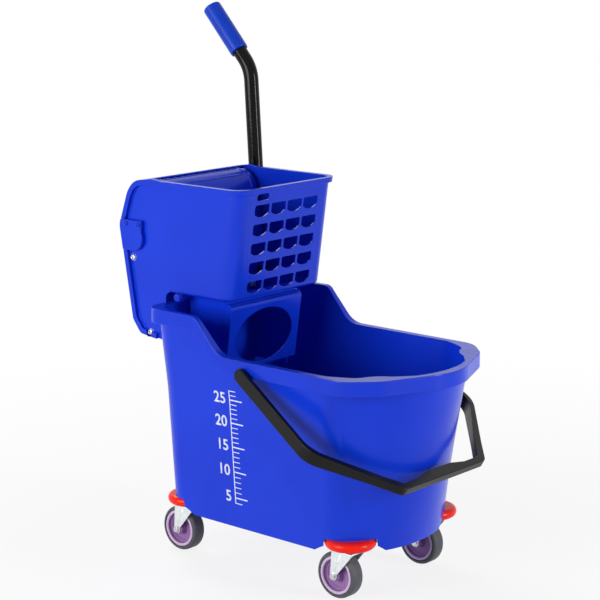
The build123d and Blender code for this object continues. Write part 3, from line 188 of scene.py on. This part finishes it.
FINISHES = {
    "bucket": (blue, "blue_body"),
    "wringer_housing": (blue, "blue_body"),
    "rear_cover": (blue, "blue_body"),
    "press_plate": (blue, "blue_body"),
    "bearing_cap": (blue, "blue_body"),
    "cap_screw": (blue, "blue_body"),
    "plate_hinge_pin": (blue, "blue_body"),
    "bail_handle": (black, "black_plastic"),
    "lever_socket": (black, "black_plastic"),
    "shaft_bush": (black, "black_plastic"),
    "lever_tube": (paint, "black_paint"),
    "lever_grip": (grip, "blue_grip"),
    "bumper": (red, "red_rubber"),
    "caster_fork": (fork_plate, "fork_plate"),
    "caster_stem": (steel, "steel"),
    "axle_bolt": (steel, "steel"),
    "axle_nut": (steel, "steel"),
    "cover_bolt": (steel, "steel"),
    "sector_screw": (steel, "steel"),
    "hub_screw": (steel, "steel"),
    "tube_bolt": (steel, "steel"),
    "plate_pin_clip": (steel, "steel"),
    "drive_shaft": (steel, "steel"),
    "return_spring": (steel, "steel"),
    "wheel_core": (core, "core_plastic"),
    "tyre": (tread, "tyre_rubber"),
    "drive_gear": (gear, "white_gear"),
    "plate_sector": (gear, "white_gear"),
}


def finish_of(node):
    return next(FINISHES[kind] for kind in FINISHES if node.startswith(kind))


def dress(piece, node):
    """Give a piece the finish of a kind of node, in its one material slot."""
    surface, slot = finish_of(node)
    piece.data.materials.clear()
    piece.data.materials.append(surface)


BODY_OF = {name: piece["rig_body"] for name, piece in frame["nodes"].items()}
for name, piece in frame["nodes"].items():
    dress(piece, name)


# ---- rounded edges ----------------------------------------------------------------
def add_object(name, mesh):
    piece = bpy.data.objects.new(name, mesh)
    bpy.context.scene.collection.objects.link(piece)
    return piece


COPLANAR = math.radians(0.6)
SHARP = math.radians(32)
EDGE_STEPS = 3
BASKET_FLOOR = 0.438
BASKET_SIDE = 0.1145  # just inside the basket's sides
BASKET_FRONT = -0.064  # ahead of the neck, which keeps its own edges
BASKET_SOFTNESS = 0.005
SOFT_STEPS = 5
ON_FLOOR = 0.0003
NORMAL_WEIGHT = 80


def under_basket(edge):
    """Whether an edge lies on the outer edge of the basket's underside."""
    return all(
        abs(vert.co.z - BASKET_FLOOR) < ON_FLOOR
        and (vert.co.x > BASKET_FRONT or abs(vert.co.y) > BASKET_SIDE)
        for vert in edge.verts
    )


def rounded(node, width):
    """Make a copy of a node with its hard edges rounded, which stands for the node."""
    mesh = bpy.data.meshes.new(f"{node}_rounded")
    shape = bmesh.new()
    shape.from_mesh(frame["nodes"][node].data)
    bmesh.ops.remove_doubles(shape, verts=shape.verts, dist=MERGE_DISTANCE)
    bmesh.ops.dissolve_limit(shape, angle_limit=COPLANAR, verts=shape.verts, edges=shape.edges)
    if node == "wringer_housing":
        soft = [edge for edge in shape.edges if edge.calc_face_angle(0) > SHARP and under_basket(edge)]
        bmesh.ops.bevel(
            shape, geom=soft, offset=BASKET_SOFTNESS, segments=SOFT_STEPS, profile=0.5, affect="EDGES"
        )
    for face in shape.faces:
        face.smooth = True
    shape.to_mesh(mesh)
    shape.free()
    piece = add_object(f"{node}_rounded", mesh)
    bevel = piece.modifiers.new("edges", "BEVEL")
    bevel.width = width
    bevel.segments = EDGE_STEPS
    bevel.limit_method = "ANGLE"
    bevel.angle_limit = SHARP
    bevel.use_clamp_overlap = False
    evened = piece.modifiers.new("evened", "WEIGHTED_NORMAL")
    evened.mode = "FACE_AREA"
    evened.weight = NORMAL_WEIGHT
    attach(piece, BODY_OF[node])
    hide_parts(node)
    dress(piece, node)


ROUNDING = {
    "bail_handle": 0.0016,
    "wringer_housing": 0.0008,
    "rear_cover": 0.0008,
    "press_plate": 0.0008,
    "bearing_cap": 0.0006,
    "lever_socket": 0.0008,
    "caster_fork": 0.0005,
    "axle_": 0.0004,
    "tube_bolt": 0.0004,
    "drive_gear": 0.0003,
    "plate_sector": 0.0004,
    "lever_grip": 0.0028,
}
for name in frame["nodes"]:
    for kind, width in ROUNDING.items():
        if name.startswith(kind):
            rounded(name, width)


# ---- turned pieces ----------------------------------------------------------------
def turned(name, profile, centre, axis, steps, closed=False):
    """A piece turned about an axis. Each point of the profile is (along, radius, hexagon), and a
    hexagon of 1 makes that ring six-sided. A closed profile ends where it starts."""
    along_way = Vector(axis).normalized()
    first_way = along_way.orthogonal().normalized()
    second_way = along_way.cross(first_way)
    shape = bmesh.new()
    rings = []
    for along, radius, hexagon in profile:
        middle = Vector(centre) + along_way * along
        if radius == 0:
            rings.append([shape.verts.new(middle)])
            continue
        ring = []
        for step in range(steps):
            angle = 2 * math.pi * step / steps
            part = angle % (math.pi / 3) - math.pi / 6
            reach = radius * (1 + hexagon * (math.cos(math.pi / 6) / math.cos(part) - 1))
            way = first_way * math.cos(angle) + second_way * math.sin(angle)
            ring.append(shape.verts.new(middle + way * reach))
        rings.append(ring)
    pairs = list(zip(rings, rings[1:]))
    if closed:
        pairs.append((rings[-1], rings[0]))
    for one, other in pairs:
        for step in range(steps):
            after = (step + 1) % steps
            if len(one) == 1:
                shape.faces.new((one[0], other[after], other[step]))
            elif len(other) == 1:
                shape.faces.new((one[step], one[after], other[0]))
            else:
                shape.faces.new((one[step], one[after], other[after], other[step]))
    bmesh.ops.recalc_face_normals(shape, faces=shape.faces)
    return finished(name, shape)


def finished(name, shape, sharp_angle=34.0):
    """The shape as an object, smooth apart from its sharp edges."""
    mesh = bpy.data.meshes.new(name)
    for face in shape.faces:
        face.smooth = True
    shape.to_mesh(mesh)
    shape.free()
    mesh.set_sharp_from_angle(angle=math.radians(sharp_angle))
    return add_object(name, mesh)


def middle_of(node):
    low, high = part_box(node)
    return (Vector(low) + Vector(high)) / 2


def arc_points(middle_along, middle_radius, size, start, end, count):
    """Points of a profile on an arc, by angles from the direction along the axis."""
    points = []
    for step in range(count + 1):
        angle = math.radians(start + (end - start) * step / count)
        points.append(
            (middle_along + size * math.cos(angle), middle_radius + size * math.sin(angle), 0)
        )
    return points


# ---- wheels -----------------------------------------------------------------------
WHEEL_RADIUS = 0.0375
WHEEL_HALF = 0.0125
TYRE_SHOULDER = 0.0055
TYRE_BORE = 0.03105
CORE_RADIUS = 0.031
CORE_HALF = 0.0115
CORE_RIM = 0.0052
WEB_HALF = 0.0035
HUB_RADIUS = 0.010
HUB_HALF = 0.0145
AXLE_BORE = 0.00305
WHEEL_STEPS = 96


def tyre_profile():
    """Section of a tyre: bore, side, lip, shoulder, and the fine groove round the middle."""
    shoulder = WHEEL_RADIUS - TYRE_SHOULDER
    side = [
        (WHEEL_HALF - 0.0012, TYRE_BORE, 0),
        (WHEEL_HALF - 0.0003, TYRE_BORE + 0.0004, 0),
        (WHEEL_HALF, TYRE_BORE + 0.0010, 0),
        (WHEEL_HALF, shoulder - 0.0004, 0),
        (WHEEL_HALF - 0.0004, shoulder - 0.0001, 0),
        (WHEEL_HALF - 0.0004, shoulder + 0.0002, 0),
    ]
    side += arc_points(WHEEL_HALF - TYRE_SHOULDER, shoulder, TYRE_SHOULDER, 6, 84, 7)
    side += [(0.0004, WHEEL_RADIUS, 0), (0.0002, WHEEL_RADIUS - 0.0002, 0)]
    return side + [(-along, radius, 0) for along, radius, _ in reversed(side)]


def core_profile():
    """Section of a wheel core: bore, hub, web, and the round rim that the tyre sits on."""
    rim_middle = CORE_RADIUS - CORE_RIM / 2
    side = [
        (HUB_HALF - 0.0008, AXLE_BORE, 0),
        (HUB_HALF, AXLE_BORE + 0.0008, 0),
        (HUB_HALF, HUB_RADIUS - 0.0022, 0),
        (HUB_HALF - 0.0010, HUB_RADIUS - 0.0008, 0),
        (WEB_HALF + 0.0020, HUB_RADIUS, 0),
        (WEB_HALF + 0.0004, HUB_RADIUS + 0.0006, 0),
        (WEB_HALF, HUB_RADIUS + 0.0020, 0),
        (WEB_HALF, rim_middle - 0.0075, 0),
        (WEB_HALF + 0.0012, rim_middle - 0.0068, 0),
        (WEB_HALF + 0.0014, CORE_RADIUS - CORE_RIM - 0.0024, 0),
        (WEB_HALF + 0.0032, CORE_RADIUS - CORE_RIM - 0.0006, 0),
        (CORE_HALF - 0.0016, CORE_RADIUS - CORE_RIM, 0),
    ]
    side += arc_points(CORE_HALF - 0.0016, rim_middle, CORE_RIM / 2, -80, 80, 8)
    side += [(CORE_HALF - 0.0018, CORE_RADIUS, 0)]
    return side + [(-along, radius, 0) for along, radius, _ in reversed(side)]


for corner in CORNERS:
    middle = middle_of(f"tyre_{corner}")
    tyre = turned(f"tyre_moulded_{corner}", tyre_profile(), middle, (0, 1, 0), WHEEL_STEPS, closed=True)
    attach(tyre, BODY_OF[f"tyre_{corner}"])
    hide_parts(f"tyre_{corner}")
    dress(tyre, "tyre")
    middle = middle_of(f"wheel_core_{corner}")
    hub = turned(f"core_moulded_{corner}", core_profile(), middle, (0, 1, 0), WHEEL_STEPS, closed=True)
    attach(hub, BODY_OF[f"wheel_core_{corner}"])
    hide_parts(f"wheel_core_{corner}")
    dress(hub, "wheel_core")
    # The rim faces take the lighter copy, a painted highlight on the rim against the painted shade of the
    # web.
    hub.data.materials.append(core_rim_painted_highlight)
    for face in hub.data.polygons:
        offset = face.center - middle
        if math.hypot(offset.x, offset.z) > CORE_RADIUS - CORE_RIM:
            face.material_index = 1


# ---- screws -----------------------------------------------------------------------
SCREW_STEPS = 48


def screw(node, direction, head_radius, head_height, socket_radius, washer=0.0):
    """A screw with a domed head and a hexagon socket, in place of the node's plain one."""
    low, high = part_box(node)
    way = Vector(direction)
    tip = Vector(high) if sum(way) > 0 else Vector(low)
    middle = middle_of(node)
    top = Vector([tip[i] if way[i] else middle[i] for i in range(3)])
    length = (Vector(high) - Vector(low)).dot(Vector([abs(part) for part in way]))
    shank = head_radius / 2
    floor = socket_radius * 0.9
    profile = [
        (-length, 0, 0),
        (-length, shank * 0.7, 0),
        (-length + shank * 0.4, shank, 0),
        (-head_height, shank, 0),
        (-head_height, head_radius + washer, 0),
        (-head_height + 0.0006, head_radius + washer, 0),
        (-head_height + 0.0008, head_radius + washer - 0.0002, 0),
        (-head_height + 0.0008, head_radius, 0),
        (-head_height * 0.35, head_radius * 0.97, 0),
        (-head_height * 0.14, head_radius * 0.86, 0),
        (0, head_radius * 0.66, 0),
        (0, socket_radius * 1.12, 0.5),
        (-0.0002, socket_radius, 1),
        (-floor, socket_radius, 1),
        (-floor * 1.25, 0, 0),
    ]
    piece = turned(f"{node}_headed", profile, top, direction, SCREW_STEPS)
    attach(piece, BODY_OF[node])
    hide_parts(node)
    dress(piece, node)


for side, turn in zip(SIDES, (-1, 1)):
    for level in LEVELS:
        screw(f"cover_bolt_{level}_{side}", (0, turn, 0), 0.0052, 0.004, 0.0026, 0.0008)
    for end in ENDS:
        screw(f"cap_screw_{end}_{side}", (0, turn, 0), 0.004, 0.0024, 0.0016)
screw("hub_screw", (0, 1, 0), 0.0072, 0.004, 0.0032, 0.0008)


# ---- beads ------------------------------------------------------------------------
def bead(shape, path, width, height, sunk=0.0004, sides=8):
    """Add a half-round bead to a shape, along a path of (point, outward direction)."""
    sections = []
    count = len(path)
    for index, (point, outward) in enumerate(path):
        before = path[max(index - 1, 0)][0]
        after = path[min(index + 1, count - 1)][0]
        across = (Vector(after) - Vector(before)).normalized().cross(outward)
        end = index in (0, count - 1)
        section = []
        for step in range(sides + 1):
            angle = math.pi * step / sides
            aside = width / 2 * math.cos(angle) * (0.55 if end else 1.0)
            above = height * math.sin(angle) * (0.25 if end else 1.0)
            section.append(shape.verts.new(Vector(point) + across * aside + outward * (above - sunk)))
        sections.append(section)
    for one, other in zip(sections, sections[1:]):
        for step in range(sides):
            shape.faces.new((one[step], one[step + 1], other[step + 1], other[step]))
        shape.faces.new((one[-1], one[0], other[0], other[-1]))
    shape.faces.new(sections[0])
    shape.faces.new(list(reversed(sections[-1])))


def straight(start, end, outward, taper):
    """A straight path whose last stretch at each end is short, so that the bead's ends are round."""
    start, end = Vector(start), Vector(end)
    way = (end - start).normalized()
    return [(start, outward), (start + way * taper, outward), (end - way * taper, outward), (end, outward)]


def bead_piece(name, shape, node):
    """Make the beads in a shape into a piece that rides with a node and looks like it."""
    bmesh.ops.recalc_face_normals(shape, faces=shape.faces)
    piece = finished(name, shape, 50.0)
    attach(piece, BODY_OF[node])
    dress(piece, node)


PLATE_LEAN = math.radians(9.5)
PLATE_FACE = 0.006
PLATE_HEIGHT = 0.158
PLATE_CURL = 0.034
CURL_ANGLES = (44, 78)
RIDGE_END_GAP = 0.018
RIDGE_TAPER = 0.003
RIDGE_SIZE = (0.0040, 0.0016)
EDGE_BEAD_GAP = 0.012
EDGE_BEAD_START = 0.060
EDGE_BEAD_TAPER = 0.004
EDGE_BEAD_SIZE = (0.0042, 0.0018)
hinge = middle_of("plate_hinge_pin")
plate_ahead = Vector((math.cos(PLATE_LEAN), 0, math.sin(PLATE_LEAN)))
plate_up = Vector((-math.sin(PLATE_LEAN), 0, math.cos(PLATE_LEAN)))
plate_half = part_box("press_plate")[1][1]


def on_curl(angle, y):
    """A place on the press plate's curled top, by the angle from its face, and the way out of it."""
    turn = math.radians(angle)
    outward = plate_ahead * math.cos(turn) + plate_up * math.sin(turn)
    middle = Vector((hinge.x, y, hinge.z)) + plate_ahead * (PLATE_FACE - PLATE_CURL)
    middle += plate_up * PLATE_HEIGHT
    return middle + outward * PLATE_CURL, outward


shape = bmesh.new()
for angle in CURL_ANGLES:
    one, outward = on_curl(angle, -plate_half + RIDGE_END_GAP)
    other, outward = on_curl(angle, plate_half - RIDGE_END_GAP)
    bead(shape, straight(one, other, outward, RIDGE_TAPER), *RIDGE_SIZE)
for side in (-1, 1):
    y = side * (plate_half - EDGE_BEAD_GAP)
    foot = Vector((hinge.x, y, hinge.z)) + plate_ahead * PLATE_FACE
    path = [
        (foot + plate_up * EDGE_BEAD_START, plate_ahead),
        (foot + plate_up * (EDGE_BEAD_START + EDGE_BEAD_TAPER), plate_ahead),
    ]
    path += [on_curl(angle, y) for angle in range(0, 91, 6)]
    bead(shape, path, *EDGE_BEAD_SIZE)
bead_piece("plate_ridges", shape, "press_plate")

RIB_TOP_AHEAD = 0.0145
RIB_TOP_DROP = 0.0105
RIB_FOOT_AHEAD = 0.0015
RIB_FOOT_RISE = 0.0085
RIB_TAPER = 0.002
RIB_SIZE = (0.0042, 0.0009)

for corner in CORNERS:
    low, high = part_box(f"caster_fork_{corner}")
    wheel = middle_of(f"tyre_{corner}")
    shape = bmesh.new()
    for side, y in ((-1, low[1]), (1, high[1])):
        top = Vector((wheel.x + RIB_TOP_AHEAD, y, high[2] - RIB_TOP_DROP))
        foot = Vector((wheel.x + RIB_FOOT_AHEAD, y, wheel.z + RIB_FOOT_RISE))
        bead(shape, straight(top, foot, Vector((0, side, 0)), RIB_TAPER), *RIB_SIZE)
    bead_piece(f"fork_ribs_{corner}", shape, f"caster_fork_{corner}")


# ---- fill scale -------------------------------------------------------------------
BASE_AREA = 0.105  # square metres, inside the floor
AREA_GAIN = 0.132  # square metres per metre of height
WATER_BASE = 0.084
SCALE_X = -0.004
SCALE_LOW = 4
SCALE_HIGH = 27
FIGURE_STEP = 5
LINE_WIDTH = 0.0016
FIGURE_MARK = (0.0020, 0.026)  # thickness and reach
LITRE_MARK = (0.0012, 0.014)
FIGURE_GAP = 0.008
FIGURE_SIZE = 0.026
FIGURE_WEIGHT = 0.016
FIGURE_MERGE = 0.00002
INK_GAP = 0.00005
INK_THICKNESS = 0.0003
RAY_START = -0.3
wall = frame["nodes"]["bucket"]
bpy.context.view_layer.update()


def level_of(litres):
    """Height of the water when the bucket holds that much: its plan grows evenly with height."""
    root = math.sqrt(BASE_AREA**2 + 2 * AREA_GAIN * litres / 1000)
    return WATER_BASE + (root - BASE_AREA) / AREA_GAIN


def on_wall(x, z, proud):
    """A place on the outside of the bucket's near side, standing proud of it."""
    _, place, normal, _ = wall.ray_cast((x, RAY_START, z), (0, 1, 0))
    return place + normal * proud


def printed_piece(name, shape):
    """Lay a flat drawing in x and z on the wall, as a thin film of ink."""
    for vert in shape.verts:
        vert.co = on_wall(vert.co.x, vert.co.z, INK_GAP)
    bmesh.ops.recalc_face_normals(shape, faces=shape.faces)
    if sum(face.normal.y * face.calc_area() for face in shape.faces) > 0:
        bmesh.ops.reverse_faces(shape, faces=shape.faces)
    mesh = bpy.data.meshes.new(name)
    shape.to_mesh(mesh)
    shape.free()
    piece = add_object(name, mesh)
    film = piece.modifiers.new("film", "SOLIDIFY")
    film.thickness = INK_THICKNESS
    film.offset = 1.0
    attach(piece, "bucket")
    piece.data.materials.append(ink)


def bar(shape, x_low, x_high, z_low, z_high, steps):
    """Draw a bar, cut into steps so that it follows the wall."""
    long_x = x_high - x_low > z_high - z_low
    last = None
    for step in range(steps + 1):
        share = step / steps
        if long_x:
            x = x_low + (x_high - x_low) * share
            pair = [shape.verts.new((x, 0, z_low)), shape.verts.new((x, 0, z_high))]
        else:
            z = z_low + (z_high - z_low) * share
            pair = [shape.verts.new((x_low, 0, z)), shape.verts.new((x_high, 0, z))]
        if last:
            shape.faces.new((last[0], pair[0], pair[1], last[1]))
        last = pair


def number_mesh(text, x, z):
    """Plain figures, right-aligned at x and centred on z."""
    curve = bpy.data.curves.new("figures", "FONT")
    curve.body = text
    curve.size = FIGURE_SIZE
    curve.offset = FIGURE_SIZE * FIGURE_WEIGHT
    curve.align_x = "RIGHT"
    curve.align_y = "CENTER"
    curve.resolution_u = 4
    drawn = add_object("figures", curve)
    bpy.context.view_layer.update()
    mesh = bpy.data.meshes.new_from_object(drawn)
    bpy.data.objects.remove(drawn)
    shape = bmesh.new()
    shape.from_mesh(mesh)
    for vert in shape.verts:
        vert.co = (x + vert.co.x, 0, z + vert.co.y)
    bmesh.ops.remove_doubles(shape, verts=shape.verts, dist=FIGURE_MERGE)
    return shape


shape = bmesh.new()
half_line = LINE_WIDTH / 2
scale_foot = level_of(SCALE_LOW) - half_line
scale_top = level_of(SCALE_HIGH) + half_line
bar(shape, SCALE_X - half_line, SCALE_X + half_line, scale_foot, scale_top, 24)
for litres in range(SCALE_LOW, SCALE_HIGH + 1):
    thick, reach = FIGURE_MARK if litres % FIGURE_STEP == 0 else LITRE_MARK
    level = level_of(litres)
    bar(shape, SCALE_X + half_line, SCALE_X + reach, level - thick / 2, level + thick / 2, 4)
printed_piece("scale_marks", shape)
for litres in range(FIGURE_STEP, SCALE_HIGH, FIGURE_STEP):
    shape = number_mesh(str(litres), SCALE_X - FIGURE_GAP, level_of(litres))
    printed_piece(f"scale_figure_{litres}", shape)


# ---- floor, light and camera ------------------------------------------------------
FLOOR_HALF = 60.0
FLOOR_GREY = 0.86
GLOW_SHARE = (0.84, 1.0)  # of white, where the floor is seen directly or mirrored
GLOW_REACH = (0.45, 1.5)  # distances from the middle between which that share grows
AMBIENT = 0.105
CAMERA_PLACE = (1.965, -2.258, 1.057)
CAMERA_AIM = (0.010, 0.0, 0.4323)
CAMERA_LENS = 113.5
LIGHT_AIM = (0.0, 0.0, 0.35)


def make_floor():
    """A pale floor that fades to white away from the object and keeps the object's shadow."""
    half = FLOOR_HALF
    mesh = bpy.data.meshes.new("floor")
    corners = [(-half, -half, 0), (half, -half, 0), (half, half, 0), (-half, half, 0)]
    mesh.from_pydata(corners, [], [(0, 1, 2, 3)])
    add_object("floor", mesh)
    n = Nodes("floor")
    n.set("Base Color", (FLOOR_GREY, FLOOR_GREY, FLOOR_GREY, 1.0))
    n.set("Roughness", 0.9)
    n.set("Specular IOR Level", 0.1)
    glow = n.node("ShaderNodeEmission", {"Color": (1.0, 1.0, 1.0, 1.0), "Strength": 1.0})
    path = n.node("ShaderNodeLightPath")
    seen = n.node(
        "ShaderNodeMath",
        {0: path.outputs["Is Camera Ray"], 1: path.outputs["Is Glossy Ray"]},
        operation="MAXIMUM",
    )
    reach = n.node("ShaderNodeVectorMath", {0: n.position}, operation="LENGTH")
    whiter = n.spread(reach.outputs["Value"], *GLOW_SHARE, *GLOW_REACH)
    share = n.node("ShaderNodeMath", {0: seen.outputs[0], 1: whiter}, operation="MULTIPLY")
    both = n.node(
        "ShaderNodeMixShader", {0: share.outputs[0], 1: n.shader.outputs[0], 2: glow.outputs[0]}
    )
    n.tree.links.new(both.outputs[0], n.tree.nodes["Material Output"].inputs["Surface"])
    mesh.materials.append(n.material)


def make_world():
    """A white world to look at and to be mirrored, which lights the scene only a little."""
    world = bpy.data.worlds.new("world")
    world.use_nodes = True
    bpy.context.scene.world = world
    tree = world.node_tree
    background = tree.nodes["Background"]
    background.inputs["Color"].default_value = (1.0, 1.0, 1.0, 1.0)
    path = tree.nodes.new("ShaderNodeLightPath")
    shown = path.outputs["Is Camera Ray"]
    for kind in ("Is Glossy Ray", "Is Transmission Ray"):
        either = tree.nodes.new("ShaderNodeMath")
        either.operation = "MAXIMUM"
        tree.links.new(shown, either.inputs[0])
        tree.links.new(path.outputs[kind], either.inputs[1])
        shown = either.outputs[0]
    strength = tree.nodes.new("ShaderNodeMapRange")
    strength.inputs["To Min"].default_value = AMBIENT
    strength.inputs["To Max"].default_value = 1.0
    tree.links.new(shown, strength.inputs["Value"])
    tree.links.new(strength.outputs[0], background.inputs["Strength"])


def make_lamp(name, place, size, power):
    data = bpy.data.lights.new(name, "AREA")
    data.shape = "RECTANGLE"
    data.size, data.size_y = size
    data.energy = power
    lamp = bpy.data.objects.new(name, data)
    lamp.location = place
    lamp.rotation_euler = (Vector(LIGHT_AIM) - Vector(place)).to_track_quat("-Z", "Y").to_euler()
    bpy.context.scene.collection.objects.link(lamp)


def make_camera():
    data = bpy.data.cameras.new("camera")
    data.lens = CAMERA_LENS
    data.sensor_width = 36.0
    data.clip_end = 100.0
    camera = bpy.data.objects.new("camera", data)
    camera.location = CAMERA_PLACE
    aim = Vector(CAMERA_AIM) - camera.location
    camera.rotation_euler = aim.to_track_quat("-Z", "Y").to_euler()
    bpy.context.scene.collection.objects.link(camera)
    bpy.context.scene.camera = camera


make_floor()
make_world()
make_lamp("key", (-0.7, -3.5, 1.15), (2.2, 1.5), 104)
make_lamp("side", (2.9, 0.7, 0.8), (0.5, 1.8), 60)
make_lamp("back", (-2.2, 0.9, 2.7), (1.6, 1.6), 58)
make_camera()
bpy.context.scene.view_settings.view_transform = "Standard"
